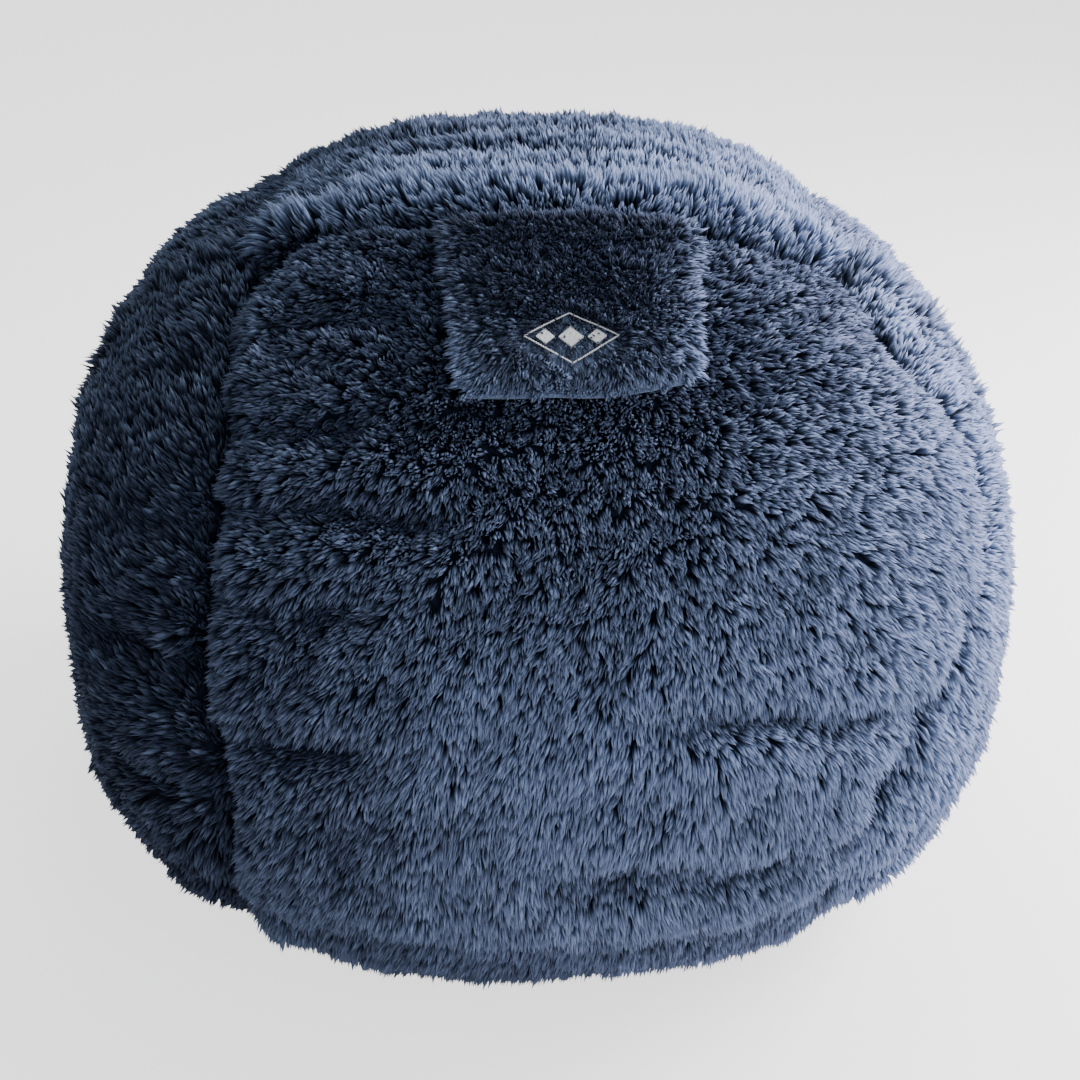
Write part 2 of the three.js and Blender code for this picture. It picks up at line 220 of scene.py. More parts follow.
def smoothstep(value, low, high):
    share = np.clip((value - low) / (high - low), 0, 1)
    return share * share * (3 - 2 * share)


def applied(thing):
    """The mesh that an object's modifiers make, as a plain one."""
    shown = thing.evaluated_get(bpy.context.evaluated_depsgraph_get())
    return bpy.data.meshes.new_from_object(shown)


def settled(thing):
    """Makes the mesh that an object's modifiers make its own."""
    thing.data = applied(thing)
    thing.modifiers.clear()
    return thing.data


def merged_copy(node, name):
    """A copy of a CAD node whose loose triangles are joined."""
    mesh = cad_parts[node].data.copy()
    mesh.materials.clear()
    work = bmesh.new()
    work.from_mesh(mesh)
    bmesh.ops.remove_doubles(work, verts=work.verts, dist=1e-5)
    work.to_mesh(mesh)
    work.free()
    return linked(name, mesh)


def outward(points):
    return (points - HEART) / lengths(points - HEART)


def place_of(points):
    """Swing, turn and reach of points, as seen from the heart of the bag."""
    away = points - HEART
    reach = lengths(away)
    x, y, z = (away / reach).T
    return np.degrees(np.arcsin(np.clip(x, -1, 1))), np.degrees(np.arctan2(z, -y)), reach[:, 0]


def beside(seam, points):
    """How far points lie to the right of an end seam, in metres."""
    swing, turn, reach = place_of(points)
    return np.radians(swing - np.interp(turn, seam[:, 0], seam[:, 1])) * reach


def pressed_seams(points):
    """Draws the cover in along its end seams, towards its heart."""
    depth = np.zeros(len(points))
    turn = place_of(points)[1]
    for seam in (LEFT_SEAM, RIGHT_SEAM):
        pull = np.interp(turn, seam[:, 0], seam[:, 2]) / 1000
        depth = np.maximum(depth, pull * np.exp(-((beside(seam, points) / SEAM_HALF_WIDTH) ** 2)))
    depth *= smoothstep(points[:, 2], 0, BASE_FADE)
    return points - depth[:, None] * (points - HEART) / lengths(points - HEART)


def depth_in_folds(mesh):
    """How far each point lies below its wider surroundings, in metres."""
    reach = place_of(coordinates(mesh))[2]
    edges = np.empty(len(mesh.edges) * 2, dtype=np.int32)
    mesh.edges.foreach_get("vertices", edges)
    a, b = edges.reshape(-1, 2).T
    count = np.bincount(a, minlength=len(reach)) + np.bincount(b, minlength=len(reach))
    smooth = reach.copy()
    for _ in range(CREASE_ROUNDS):
        total = np.bincount(a, smooth[b], len(reach)) + np.bincount(b, smooth[a], len(reach))
        smooth = total / np.maximum(count, 1)
    return smooth - reach


def reshaped_folds(mesh):
    """Sinks the folds a little deeper, but fills those near the floor and the seams over the top."""
    points = coordinates(mesh)
    swing, turn, _ = place_of(points)
    gap = np.minimum(abs(beside(LEFT_SEAM, points)), abs(beside(RIGHT_SEAM, points)))
    first, second, third, last = NOTCH["turns"]
    notch = smoothstep(turn, first, second) * (1 - smoothstep(turn, third, last))
    notch *= 1 - smoothstep(gap, 0.4 * NOTCH["within"], NOTCH["within"])
    free = smoothstep(points[:, 2], *FOLD_FREE)
    deeper = FOLD_DEEPER * (free - FOLD_PRESSED * (1 - free))
    sunk = np.clip(depth_in_folds(mesh), 0, FOLD_MOST) * smoothstep(points[:, 2], 0, BASE_FADE)
    move = sunk * (notch * (NOTCH["filled"] + deeper) - deeper)
    tuck = (1 - smoothstep(points[:, 2], *BASE_TUCK["heights"])) * smoothstep(swing, *BASE_TUCK["swings"])
    move -= BASE_TUCK["most"] * tuck
    return points + move[:, None] * (points - HEART) / lengths(points - HEART)


def filled(thing, pinned):
    """Presses the filling against the cover as cloth, and keeps each point near its place."""
    start = coordinates(thing.data)
    group = thing.vertex_groups.new(name="held")
    for index in np.flatnonzero(pinned):
        group.add([int(index)], 1.0, "REPLACE")
    settings = thing.modifiers.new("Cloth", "CLOTH").settings
    settings.quality = FILLING["quality"]
    settings.vertex_group_mass = "held"
    settings.use_pressure = True
    settings.uniform_pressure_force = FILLING["pressure"]
    settings.shrink_min = FILLING["slack"]
    settings.effector_weights.gravity = 0
    for step in range(1, FILLING["frames"] + 1):
        scene.frame_set(step)
    swollen = applied(thing)
    move = coordinates(swollen) - start
    bpy.data.meshes.remove(swollen)
    thing.modifiers.clear()
    thing.vertex_groups.clear()
    scene.frame_set(1)
    size = np.maximum(lengths(move), 1e-9)
    set_coordinates(thing.data, start + move * np.minimum(1, FILLING["most"] / size))


def new_tree(name, kind, inputs, outputs):
    """A node tree and its inputs. Each input has a kind and a value to start from, each output a kind."""
    tree = bpy.data.node_groups.new(name, kind)
    for label, (socket, start) in inputs.items():
        given = tree.interface.new_socket(label, in_out="INPUT", socket_type="NodeSocket" + socket)
        if start is not None:
            given.default_value = start
    for label, socket in outputs.items():
        tree.interface.new_socket(label, in_out="OUTPUT", socket_type="NodeSocket" + socket)
    return tree, tree.nodes.new("NodeGroupInput").outputs


def mixed(tree, share, first, second):
    node = wired(tree, "ShaderNodeMix", {"data_type": "RGBA"})
    for place, value in {0: share, 6: first, 7: second}.items():
        tree.links.new(value, node.inputs[place])
    return node.outputs[2]


def mottle_group():
    """Fine soft spots, in which the colour and the height of a cloth or a thread change."""
    made = {"Color": "Color", "Height": "Float"}
    group, given = new_tree("mottled fibre", "ShaderNodeTree", MOTTLE_INPUTS, made)
    noise = wired(group, "ShaderNodeTexNoise",
                  Vector=given["Place"], Scale=given["Scale"], Detail=given["Detail"])
    share = wired(group, "ShaderNodeMapRange", Value=noise.outputs["Fac"], From_Min=given["Dark At"],
                  From_Max=given["Light At"])
    colour = mixed(group, share.outputs[0], given["Dark"], given["Light"])
    wired(group, "NodeGroupOutput", Color=colour, Height=noise.outputs["Fac"])
    return group


def mottled_finish(name, spots, height, **surface):
    """A finish whose shade and height change in fine spots; surface holds the shader's own values."""
    material, bsdf = noded(name)
    tree = material.node_tree
    place = wired(tree, "ShaderNodeTexCoord").outputs["Object"]
    mottle = wired(tree, "ShaderNodeGroup", {"node_tree": mottling}, Place=place, **spots)
    bump = wired(tree, "ShaderNodeBump", Distance=height, Height=mottle.outputs["Height"])
    set_inputs(bsdf, Base_Color=mottle.outputs["Color"], Normal=bump.outputs["Normal"], **surface)
    return material


cover = merged_copy("filled_cover", "filled_cover_cloth")
cad_surface = BVHTree.FromObject(cover, bpy.context.evaluated_depsgraph_get())
remesh = cover.modifiers.new("Remesh", "REMESH")
remesh.mode = "VOXEL"
remesh.voxel_size = COVER_VOXEL
cover_mesh = settled(cover)
points = coordinates(cover_mesh)
inward = -outward(points)
off_base = smoothstep(points[:, 2], 0, BASE_FADE)[:, None]
points += PILE_DEPTH * inward * (1, 1, 0) * (1 - off_base)
points += inward * (PILE_DEPTH + FILLING["start_in"]) * off_base
points[:, 2] = np.maximum(points[:, 2], BASE_LIFT)
set_coordinates(cover_mesh, points)
near_seam = np.minimum(abs(beside(LEFT_SEAM, points)), abs(beside(RIGHT_SEAM, points))) < COVER_VOXEL
filled(cover, near_seam | (points[:, 2] < 3 * BASE_LIFT))
set_coordinates(cover_mesh, pressed_seams(coordinates(cover_mesh)))
points = reshaped_folds(cover_mesh)
points[:, 2] = np.maximum(points[:, 2], BASE_LIFT)
set_coordinates(cover_mesh, points)
cover_mesh.shade_smooth()

mottling = mottle_group()
cover_mesh.materials.append(mottled_finish("cover cloth under the pile", COVER_SPOTS, 0.004,
                                           Roughness=0.95, Specular_IOR_Level=0.2))
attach(cover, "root")
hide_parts("filled_cover")


# The pile of the cover. It is long synthetic fibre, near black at its root, where its dye is deepened by
# painted shade from the fibres round it, and pale at its tip, knitted into the cloth in tufts. It lies as
# gravity and stroking
# left it: it stands up along the top fold, points at the viewer below it, leans over the left seam and hangs
# on the lower half.
TUFT_LOCKS = 6
TUFT_SHAPES = 5
TUFT_SIZES = {
    "root": 0.0036, "tip": 0.0070, "half_width": 0.0021, "thick": 0.0020, "belly_at": 0.68, "sunk": 0.12,
}
REACH_LEAST = 0.022
REACH_MOST = 0.033
COMB_SPREAD = 16.0  # degrees over which one row of the table below gives way to the next
# The nap of each panel: where on the bag (swing, turn), which way the pile points there (x, y, z), how flat
# it lies from 0 to 1, and its tone, near 0 where its tips are dark and near 1 where they are light. The tone
# is painted light and shade: high where light falls, as on the top and the right end, and low in shade, as
# on the left end and below the top fold.
COMB = {
    "front": [
        (-28, 74, -0.9, -0.1, 0.5, 0.50, 0.36), (4, 74, -0.1, -0.5, 0.2, 0.30, 0.00),
        (34, 74, 0.6, 0.0, 0.6, 0.50, 0.20), (-26, 60, -1.0, -0.3, 0.2, 0.36, 0.20),
        (-13, 62, -0.3, -0.6, -0.1, 0.25, -0.40), (8, 56, 0.0, -0.6, -0.2, 0.30, 0.18),
        (30, 58, 0.7, -0.2, 0.1, 0.45, -0.40), (48, 56, 0.9, 0.1, 0.0, 0.60, 0.55),
        (-26, 32, -0.9, -0.2, -0.4, 0.50, 0.22), (2, 44, -0.2, -0.3, -0.7, 0.40, 0.82),
        (2, 34, -0.2, -0.1, -0.9, 0.48, 0.14), (30, 38, 0.3, -0.1, -0.8, 0.50, 0.62),
        (52, 32, 0.4, 0.2, -0.8, 0.60, 0.84), (-26, 4, -0.7, 0.0, -0.8, 0.50, 0.08),
        (0, 14, -0.2, 0.0, -1.0, 0.60, 1.04), (30, 16, 0.12, 0.1, -1.0, 0.64, 0.80),
        (-22, -24, -0.3, 0.0, -1.0, 0.74, 0.42), (4, -16, -0.1, 0.0, -1.0, 0.66, 0.57),
        (4, -38, -0.1, 0.0, -1.0, 0.78, 0.26), (30, -20, 0.1, 0.1, -1.0, 0.78, 0.46),
    ],
    "top": [
        (-30, 80, -0.9, 0.15, 0.6, 0.50, 0.80), (-6, 84, -0.4, 0.45, 0.8, 0.40, 0.70),
        (18, 84, 0.1, 0.5, 0.8, 0.40, 0.80), (36, 86, 0.35, 0.5, 0.7, 0.50, 0.84),
        (-26, 104, -0.4, 0.7, 0.4, 0.66, -0.14), (4, 106, -0.1, 0.8, 0.4, 0.72, 0.22),
        (30, 106, 0.2, 0.8, 0.4, 0.66, 0.66), (0, 140, 0.0, 0.9, -0.6, 0.66, 0.56),
        (-5, 172, 0.0, 0.2, -1.0, 0.66, 0.60), (-5, -160, 0.0, 0.1, -1.0, 0.66, 0.60),
        (30, 160, 0.3, 0.4, -0.9, 0.66, 0.66), (-30, 160, -0.3, 0.4, -0.9, 0.66, 0.52),
    ],
    "left": [
        (-46, 64, -0.5, 0.4, 0.8, 0.76, -0.20), (-46, 14, -0.5, 0.4, 0.5, 0.72, -0.08),
        (-44, -20, -0.4, 0.3, -0.9, 0.76, -0.16), (-72, 30, -0.2, 0.9, 0.2, 0.88, 0.54),
        (-72, -14, -0.1, 0.9, -0.7, 0.88, 0.30), (-64, 105, -0.8, 0.7, 0.0, 0.70, 0.24),
        (-60, 160, -0.4, 0.5, -0.9, 0.68, 0.40), (-60, -160, -0.4, 0.5, -0.9, 0.68, 0.40),
    ],
    "right": [
        (66, 60, 0.6, 0.5, 0.1, 0.70, 0.62), (52, 90, 0.4, 0.6, 0.4, 0.68, 0.50),
        (60, 20, 0.15, 0.5, -0.9, 0.80, 0.96), (50, -12, 0.10, 0.4, -1.0, 0.76, 0.92),
        (76, -5, 0.0, 0.9, -0.8, 0.88, 0.88), (60, 110, 0.6, 0.7, -0.2, 0.70, 0.60),
        (60, 160, 0.4, 0.5, -0.9, 0.68, 0.66), (60, -160, 0.4, 0.5, -0.9, 0.68, 0.66),
    ],
}
RIDGE = {"turn": 83, "spread": 5, "longer": 0.62}  # the pile is long where it stands up along the top fold
RIDGE_SHADOW = {"reach": 8, "painted_shade": 0.40, "shorter": 0.35}  # and shades and presses the pile just below it
BASE_REACH = 0.2  # the share of its length that the pile keeps at the floor
# In a fold, down to this depth, the pile is darker by painted shade and shorter by so much for each metre.
# Its lips are lighter by painted light.
CREASE = {"painted_shade": 26.0, "shorter": 14.0, "lip": -0.006, "depth": 0.02}
# Beside the left seam, within this distance, the pile leans over it, from these heights up.
OVERHANG = {"within": 0.045, "fully": 0.3, "lean": (-1.6, -0.3, 0.0), "heights": (0.05, 0.2)}
SEAM_BARE = 0.007
SEAM_THINNER = 0.5
WAVE_COUNT = 9
SWIRLS = [(0.19, 0.18, 3), (0.07, 0.12, 11), (0.045, 0.09, 19)]  # swirls in the pile: length, strength, seed
# The pile is lighter in some places and longer in others, each by so much and with a seed.
PATCHES = {"size": 0.06, "tone": (0.07, 23), "depth": (0.06, 29)}
STEERING = ("nap", "lean", "reach", "thick", "light", "panel", "own", "side", "tone", "along", "up", "size")
PILES = {  # how far apart the tufts of each piece stand, and how much they stray
    "front_upper": (0.0067, 0.28), "front_lower": (0.0068, 0.16), "top": (0.0072, 0.18),
    "back": (0.0108, 0.16), "left_end": (0.0094, 0.14), "right_end": (0.0089, 0.12),
}
THICKENING = (0.25, 0.0086)  # tufts are this much thick, and once more for each of this spacing
PANELS = {name: number for number, name in enumerate([*PILES, "under"])}
FRONT_SPLIT_TURN = 14
BACK_SPLIT_TURN = 124

# Where the flap lies: its middle at the sewn edge (swing) and the turns of that edge and of its own middle
# in degrees; how far its hem lies to the right and how far the hem rises to its right corner, in metres.
FLAP = {"width": 0.302, "hem_width": 0.274, "length": 0.284, "swing": 5.1, "top_turn": 75, "middle_turn": 62,
        "lean": 0.012, "hem_rise": 0.026}
# The flap hides the cover from these distances inside its sides, and between these shares of its length.
UNDER_FLAP = {"sides": (0.035, 0.045), "top": (0.02, 0.05), "hem": (0.80, 0.86)}


def direction(swing, turn):
    a, b = np.radians(swing), np.radians(turn)
    return np.stack([np.sin(a), -np.cos(a) * np.cos(b), np.cos(a) * np.sin(b)], -1)


def waves(points, length, seed):
    """Smooth random vectors that change over about one length."""
    dice = np.random.default_rng(seed)
    total = np.zeros((len(points), 3))
    for _ in range(WAVE_COUNT):
        along = dice.normal(size=3)
        along *= 2 * math.pi / length / np.linalg.norm(along)
        total += np.sin(points @ along + dice.uniform(0, 2 * math.pi))[:, None] * dice.normal(size=3)
    return total / math.sqrt(WAVE_COUNT)


def comb_group(panel):
    """The rows of the comb that each place's panel goes by."""
    group = np.full(len(panel), "front", dtype="U5")
    group[(panel == PANELS["top"]) | (panel == PANELS["back"])] = "top"
    group[panel == PANELS["left_end"]] = "left"
    group[panel == PANELS["right_end"]] = "right"
    return group


def combed(points, normals):
    """For places on the cloth: which way the pile points, its lean along the cloth, and its lightness, which
    is painted light and shade.
    """
    away = outward(points)
    nap = np.zeros((len(points), 5))
    group = comb_group(panel_of(points))
    for name, table in COMB.items():
        table = np.array(table)
        here = group == name
        apart = np.degrees(np.arccos(np.clip(away[here] @ direction(table[:, 0], table[:, 1]).T, -1, 1)))
        share = np.exp(-((apart / COMB_SPREAD) ** 2)) + 1e-9
        nap[here] = share @ table[:, 2:] / share.sum(1, keepdims=True)
    lean, flat, light = nap[:, :3], nap[:, 3], nap[:, 4]
    for length, strength, seed in SWIRLS:
        lean = lean + strength * waves(points, length, seed)
    past = beside(LEFT_SEAM, points)
    within = OVERHANG["within"]
    over = smoothstep(past, -SEAM_BARE, 0) * (1 - smoothstep(past, OVERHANG["fully"] * within, within))
    over *= smoothstep(points[:, 2], *OVERHANG["heights"])
    lean += over[:, None] * np.array(OVERHANG["lean"])
    lean -= (lean * normals).sum(1, keepdims=True) * normals
    lean /= np.maximum(lengths(lean), 1e-6)
    lean *= np.clip(flat, 0, 0.9)[:, None]
    upright = np.sqrt(1 - (lean ** 2).sum(1, keepdims=True))
    return normals * upright + lean, lean, light


def store(mesh, **fields):
    """Keeps a number or a vector for each point of a mesh."""
    for name, values in fields.items():
        values = np.asarray(values)
        kind, field = ("FLOAT_VECTOR", "vector") if values.ndim == 2 else ("FLOAT", "value")
        mesh.attributes.new(name, kind, "POINT").data.foreach_set(field, values.ravel())


def store_panel(mesh, panel):
    mesh.attributes.new("panel", "INT", "FACE").data.foreach_set("value", panel.astype(np.int32))


def unsteered(mesh):
    """Takes off a mesh the attributes that only steered how it was made."""
    for spare in STEERING:
        if spare in mesh.attributes:
            mesh.attributes.remove(mesh.attributes[spare])


def panel_of(points):
    turn = place_of(points)[1]
    panel = np.full(len(points), PANELS["front_upper"])
    panel[turn < FRONT_SPLIT_TURN] = PANELS["front_lower"]
    panel[turn > TOP_FOLD_TURN] = PANELS["top"]
    panel[(turn > BACK_SPLIT_TURN) | (turn < -90)] = PANELS["back"]
    panel[beside(LEFT_SEAM, points) < 0] = PANELS["left_end"]
    panel[beside(RIGHT_SEAM, points) > 0] = PANELS["right_end"]
    panel[points[:, 2] < 2.5 * BASE_LIFT] = PANELS["under"]
    return panel


def cad_reach(swing, turn):
    """How far the CAD cover reaches from the heart in a direction."""
    return cad_surface.ray_cast(Vector(HEART), Vector(direction(swing, turn)))[3]


flap_reach = cad_reach(FLAP["swing"], FLAP["middle_turn"])


def under_flap(points):
    """1 where the flap hides the cover, and 0 near its edges and beyond them."""
    swing, turn, _ = place_of(points)
    down = np.radians(FLAP["top_turn"] - turn) * flap_reach / FLAP["length"]
    half_width = (FLAP["width"] + (FLAP["hem_width"] - FLAP["width"]) * np.clip(down, 0, 1)) / 2
    across = np.radians(swing - FLAP["swing"]) * flap_reach - FLAP["lean"] * down
    inside = smoothstep(half_width - abs(across), *UNDER_FLAP["sides"])
    return inside * smoothstep(down, *UNDER_FLAP["top"]) * (1 - smoothstep(down, *UNDER_FLAP["hem"]))


def tuft_shape(name, dice):
    """A tuft of narrow leaf-like locks that are rooted together, widen towards their ends and part there."""
    verts, faces, along, side, own = [], [], [], [], []
    for lock in range(TUFT_LOCKS):
        angle = 2 * math.pi * (lock + dice.uniform(-0.3, 0.3)) / TUFT_LOCKS
        out = np.array((math.cos(angle), math.sin(angle), 0))
        root = out * TUFT_SIZES["root"] * dice.uniform(0.2, 1) + (0, 0, -TUFT_SIZES["sunk"])
        tip = out * TUFT_SIZES["tip"] * dice.uniform(-0.25, 1) + (0, 0, dice.uniform(0.80, 1.06))
        belly = root + (tip - root) * TUFT_SIZES["belly_at"] + out * TUFT_SIZES["thick"]
        faced = angle + math.pi / 2 + dice.uniform(-0.6, 0.6)
        half_width = TUFT_SIZES["half_width"] * dice.uniform(0.8, 1.25)
        edge = half_width * np.array((math.cos(faced), math.sin(faced), 0))
        first = len(verts)
        verts += [root, belly + edge, belly - edge, tip]
        for a, b, c in ((0, 1, 2), (1, 3, 2), (0, 3, 1), (0, 2, 3)):
            faces.append((first + a, first + b, first + c))
        along += [0, TUFT_SIZES["belly_at"], TUFT_SIZES["belly_at"], 1]
        side += [0, -1, 1, 0]
        own += [dice.uniform(-1, 1)] * 4
    mesh = bpy.data.meshes.new(name)
    mesh.from_pydata(verts, [], faces)
    mesh.shade_smooth()
    store(mesh, along=along, side=side, own=own)
    return bpy.data.objects.new(name, mesh)


tufts = bpy.data.collections.new("tufts")
for number in range(TUFT_SHAPES):
    tufts.objects.link(tuft_shape(f"tuft_{number}", np.random.default_rng(40 + number)))


def attribute(tree, name, kind="FLOAT"):
    node = wired(tree, "GeometryNodeInputNamedAttribute", {"data_type": kind}, Name=name)
    return node.outputs["Attribute"]


def chance(tree, low, high, seed, kind="FLOAT"):
    node = wired(tree, "FunctionNodeRandomValue", {"data_type": kind}, Min=low, Max=high, Seed=seed)
    return next(o for o in node.outputs if o.enabled)


PILE_INPUTS = {
    "Geometry": ("Geometry", None), "Panel": ("Int", 0), "Spacing": ("Float", 0.012), "Seed": ("Int", 0),
    "Tufts": ("Collection", None), "Thickness": ("Float", 1.0), "Disorder": ("Float", 0.3),
    "Droop": ("Float", 0.22), "Clumping": ("Float", 0.004), "Unevenness": ("Float", 0.2),
    "Floor": ("Float", 0.0012), "Finish": ("Material", None),
}
FULL_TURN = 6.283
PACKING = 1.6  # tufts tried for each square of the spacing, of which those too near to another are dropped
TUFT_WIDTHS = (0.8, 1.25)  # from the narrowest to the widest, and from the shortest to the longest
TUFT_LENGTHS = (0.86, 1.08)
WEIGHT = (0, 0, -0.35)  # how the tips hang
CLUMP_SCALE = 34.0
SIDE_TONE = 0.006  # how much lighter one edge of a lock is


def pile_tree():
    """Plants tufts on a cloth. Each leans as the cloth's nap says, droops and clumps with its neighbours."""
    tree, given = new_tree("planted pile", "GeometryNodeTree", PILE_INPUTS, {"Geometry": "Geometry"})
    other = wired(tree, "FunctionNodeCompare", {"data_type": "INT", "operation": "NOT_EQUAL"},
                  A=attribute(tree, "panel", "INT"), B=given["Panel"])
    panel = wired(tree, "GeometryNodeDeleteGeometry", {"domain": "FACE"},
                  Geometry=given["Geometry"], Selection=other.outputs[0])
    most = calculated(tree, "DIVIDE", PACKING, calculated(tree, "POWER", given["Spacing"], 2.0))
    spots = wired(tree, "GeometryNodeDistributePointsOnFaces", {"distribute_method": "POISSON"},
                  Mesh=panel.outputs[0], Distance_Min=given["Spacing"], Density_Max=most,
                  Density_Factor=attribute(tree, "thick"), Seed=given["Seed"])
    uneven = calculated(tree, "MULTIPLY", chance(tree, -1.0, 1.0, 1), given["Unevenness"])
    tone = calculated(tree, "ADD", attribute(tree, "light"), uneven)
    toned = wired(tree, "GeometryNodeStoreNamedAttribute", {"data_type": "FLOAT", "domain": "POINT"},
                  Geometry=spots.outputs["Points"], Name="tone", Value=tone)

    stray = calculated(tree, "SCALE", chance(tree, (-1, -1, -1), (1, 1, 1), 2, "FLOAT_VECTOR"),
                       given["Disorder"], vector=True)
    aim = calculated(tree, "ADD", attribute(tree, "nap", "FLOAT_VECTOR"), stray, vector=True)
    leaned = wired(tree, "FunctionNodeAlignRotationToVector", {"axis": "Z"}, Vector=aim)
    spin = wired(tree, "FunctionNodeAxisAngleToRotation",
                 Axis=(0, 0, 1), Angle=chance(tree, 0.0, FULL_TURN, 3))
    turned = wired(tree, "FunctionNodeRotateRotation", {"rotation_space": "LOCAL"},
                   Rotation=leaned.outputs[0], Rotate_By=spin.outputs[0])
    width = calculated(tree, "MULTIPLY", given["Thickness"], chance(tree, *TUFT_WIDTHS, 4))
    long = calculated(tree, "MULTIPLY", attribute(tree, "reach"), chance(tree, *TUFT_LENGTHS, 5))
    size = wired(tree, "ShaderNodeCombineXYZ", X=width, Y=width, Z=long)
    shapes = wired(tree, "GeometryNodeCollectionInfo", Collection=given["Tufts"],
                   Separate_Children=True, Reset_Children=True)
    planted = wired(tree, "GeometryNodeInstanceOnPoints",
                    Points=toned.outputs[0], Instance=shapes.outputs[0],
                    Pick_Instance=True, Instance_Index=chance(tree, 0, TUFT_SHAPES - 1, 6, "INT"),
                    Rotation=turned.outputs[0], Scale=size.outputs[0])
    real = wired(tree, "GeometryNodeRealizeInstances", Geometry=planted.outputs[0])

    along = attribute(tree, "along")
    reach = attribute(tree, "reach")
    bend = calculated(tree, "MULTIPLY", calculated(tree, "POWER", along, 2.0), reach)
    fall = calculated(tree, "ADD", attribute(tree, "lean", "FLOAT_VECTOR"), WEIGHT, vector=True)
    sag = calculated(tree, "MULTIPLY", bend, given["Droop"])
    drooped = calculated(tree, "SCALE", fall, sag, vector=True)
    place = wired(tree, "GeometryNodeInputPosition").outputs[0]
    swirl = wired(tree, "ShaderNodeTexNoise", Scale=CLUMP_SCALE, Detail=2.0, Vector=place)
    centred = calculated(tree, "SUBTRACT", swirl.outputs["Color"], (0.5, 0.5, 0.5), vector=True)
    pulled = calculated(tree, "MULTIPLY", calculated(tree, "MULTIPLY", along, given["Clumping"]), 2.0)
    gathered = calculated(tree, "SCALE", centred, pulled, vector=True)
    clumped = calculated(tree, "ADD", drooped, gathered, vector=True)
    bent = wired(tree, "GeometryNodeSetPosition", Geometry=real.outputs[0], Offset=clumped)
    split = wired(tree, "ShaderNodeSeparateXYZ", Vector=place)
    height = calculated(tree, "MAXIMUM", split.outputs["Z"], given["Floor"])
    kept = wired(tree, "ShaderNodeCombineXYZ", X=split.outputs["X"], Y=split.outputs["Y"], Z=height)
    stood = wired(tree, "GeometryNodeSetPosition", Geometry=bent.outputs[0], Position=kept.outputs[0])

    own = calculated(tree, "MULTIPLY", attribute(tree, "own"), given["Unevenness"])
    shade = calculated(tree, "ADD", calculated(tree, "ADD", attribute(tree, "tone"), own),
                       calculated(tree, "MULTIPLY", attribute(tree, "side"), SIDE_TONE))
    across = wired(tree, "ShaderNodeClamp", Value=shade, Min=0.02, Max=0.98)
    up = calculated(tree, "MULTIPLY_ADD", along, 0.96, 0.02)
    map_place = wired(tree, "ShaderNodeCombineXYZ", X=across.outputs[0], Y=up)
    mapped = wired(tree, "GeometryNodeStoreNamedAttribute", {"data_type": "FLOAT2", "domain": "CORNER"},
                   Geometry=stood.outputs[0], Name="OFBake", Value=map_place.outputs[0])
    finished = wired(tree, "GeometryNodeSetMaterial", Geometry=mapped.outputs[0], Material=given["Finish"])
    wired(tree, "NodeGroupOutput", Geometry=finished.outputs[0])
    return tree


def run_tree(thing, tree, **values):
    """What a Geometry Nodes tree makes of an object with these inputs, as a plain mesh."""
    modifier = thing.modifiers.new("nodes", "NODES")
    modifier.node_group = tree
    for item in tree.interface.items_tree:
        if item.in_out == "INPUT" and item.name in values:
            modifier[item.identifier] = values[item.name]
    mesh = applied(thing)
    thing.modifiers.remove(modifier)
    return mesh


def pile_piece(name, cloth, tree, slot, **values):
    """One piece of pile on a cloth, without the attributes that only steered it."""
    mesh = run_tree(cloth, tree, **values)
    unsteered(mesh)
    piece = linked(name, mesh)
    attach(piece, "root")
    return piece


# A fibre's parts from its root up: where along it one gives way to the next, and how late each turns
# light as the tone of its tuft rises.
FIBRE_STEPS = ((0.0, 0.55), (0.55, 0.98))
FIBRE_PARTS = {"Root": 1.3, "Dye": 1.5, "Tip": 0.7}


def pile_colours():
    """The colour of a fibre: near black at its root, partly dye and partly painted shade, then the dye, then
    its bleached tip.
    """
    shades = {f"{tone} {part}": ("Color", None) for tone in ("Dark", "Light") for part in FIBRE_PARTS}
    group, given = new_tree("pile colours", "ShaderNodeTree", shades, {"Color": "Color"})
    kept = wired(group, "ShaderNodeUVMap", {"uv_map": "OFBake"}).outputs[0]
    at = wired(group, "ShaderNodeSeparateXYZ", Vector=kept)
    root, dye, tip = (mixed(group, calculated(group, "POWER", at.outputs["X"], late), given["Dark " + part],
                            given["Light " + part]) for part, late in FIBRE_PARTS.items())
    low, high = (wired(group, "ShaderNodeMapRange", {"interpolation_type": "SMOOTHSTEP"},
                       Value=at.outputs["Y"], From_Min=start, From_Max=end) for start, end in FIBRE_STEPS)
    fibre = mixed(group, high.outputs[0], mixed(group, low.outputs[0], root, dye), tip)
    wired(group, "NodeGroupOutput", Color=fibre)
    return group


def pile_finish(name, colours, shades):
    material, bsdf = noded(name)
    fibre = wired(material.node_tree, "ShaderNodeGroup", {"node_tree": colours})
    for key, shade in shades.items():
        fibre.inputs[key].default_value = (*shade, 1)
    set_inputs(bsdf, Base_Color=fibre.outputs["Color"], Roughness=0.66, Specular_IOR_Level=0.22,
               Sheen_Weight=0.14, Sheen_Roughness=0.4, Sheen_Tint=(0.5, 0.64, 1.0, 1))
    return material


# The dark shades are the fibre where its tuft's tone is low, mostly painted shade, and the light shades where
# it is high, mostly painted light; the near-black roots are partly dye and partly painted shade between the
# fibres.
COVER_SHADES = {
    "Dark Root": (0.002, 0.004, 0.011), "Dark Dye": (0.004, 0.008, 0.022), "Dark Tip": (0.020, 0.036, 0.082),
    "Light Root": (0.078, 0.114, 0.205), "Light Dye": (0.150, 0.213, 0.37), "Light Tip": (0.37, 0.46, 0.72),
}
colours = pile_colours()
cover_pile_finish = pile_finish("navy long pile", colours, COVER_SHADES)
planting = pile_tree()

